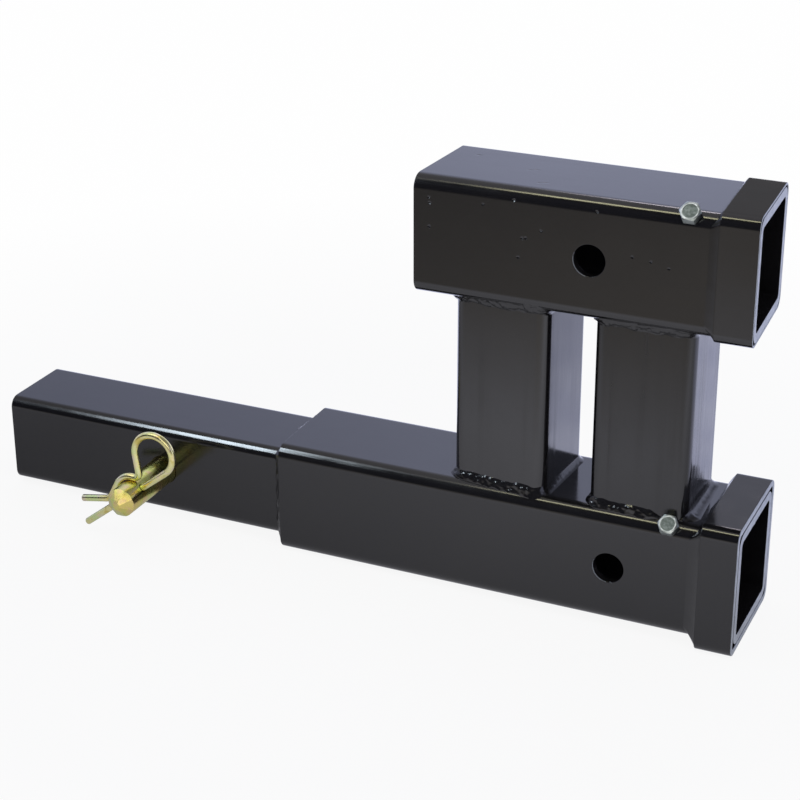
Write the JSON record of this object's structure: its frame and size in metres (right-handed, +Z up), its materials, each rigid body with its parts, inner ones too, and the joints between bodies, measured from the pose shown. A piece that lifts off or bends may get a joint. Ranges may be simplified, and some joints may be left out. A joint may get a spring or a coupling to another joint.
{
  "type": "dual hitch receiver",
  "caption": "Welded square-tube receiver extension with an upper and a lower socket, and a bent hitch pin with its spring clip.",
  "frame": {"origin": "middle of the shank's hitch pin hole", "axes": "+X along the shank towards the receiver mouths, +Y along the hitch pin towards its bent arm, +Z up towards the upper receiver"},
  "size_m": [0.4255, 0.1234, 0.2315],
  "materials": {
    "black_paint": "gloss",
    "painted_weld": "gloss",
    "yellow_zinc": "satin",
    "clear_zinc": "satin"
  },
  "bodies": {
    "frame": {"shank": "black_paint", "lower_receiver_tube": "black_paint", "upper_receiver_tube": "black_paint", "post_vehicle_side": "black_paint", "post_mouth_side": "black_paint", "lower_collar": "black_paint", "upper_collar": "black_paint", "shank_weld": "painted_weld", "vehicle_post_bottom_weld": "painted_weld", "vehicle_post_top_weld": "painted_weld", "mouth_post_bottom_weld": "painted_weld", "mouth_post_top_weld": "painted_weld", "lower_collar_weld": "painted_weld", "upper_collar_weld": "painted_weld"},
    "hitch_pin": {"hitch_pin": "yellow_zinc"},
    "pin_clip": {"pin_clip": "yellow_zinc"},
    "lower_corner_bolt": {"lower_corner_bolt": "clear_zinc"},
    "upper_corner_bolt": {"upper_corner_bolt": "clear_zinc"}
  },
  "joints": [
    {"name": "hitch_pin_slide", "type": "slide", "parent": "frame", "child": "hitch_pin", "axis": [0, 1, 0], "range_m": [0, 0.029]},
    {"name": "pin_clip_pull", "type": "slide", "parent": "hitch_pin", "child": "pin_clip", "axis": [0.7912, 0, 0.6115], "range_m": [0, 0.048], "deforming": ["pin_clip"]},
    {"name": "lower_bolt_travel", "type": "slide", "parent": "frame", "child": "lower_corner_bolt", "axis": [0, -0.7071, 0.7071], "range_m": [-0.0003, 0.005]},
    {"name": "upper_bolt_travel", "type": "slide", "parent": "frame", "child": "upper_corner_bolt", "axis": [0, -0.7071, 0.7071], "range_m": [-0.0004, 0.005]}
  ]
}
